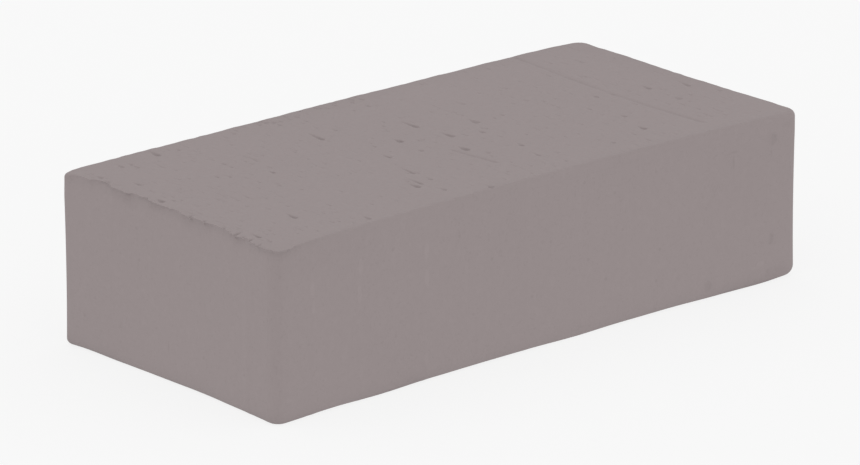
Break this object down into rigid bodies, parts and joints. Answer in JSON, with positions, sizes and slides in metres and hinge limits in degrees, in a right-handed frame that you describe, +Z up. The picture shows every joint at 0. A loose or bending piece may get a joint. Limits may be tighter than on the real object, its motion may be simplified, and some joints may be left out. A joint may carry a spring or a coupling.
{
  "type": "clay bar",
  "caption": "Rectangular block of kneadable detailing clay with a crisp wire-cut top, soft foot edges, rounded upright corners and slightly hollow faces.",
  "frame": {"origin": "middle of the flat underside", "axes": "+Z up from the underside to the wire-cut top, +X along the length, +Y across the width from the front face to the back face"},
  "size_m": [0.1, 0.0476, 0.0256],
  "materials": {
    "clay": "matt, dry-looking warm grey clay with fine drag marks"
  },
  "bodies": {
    "root": {"clay_bar": "clay"}
  },
  "joints": []
}
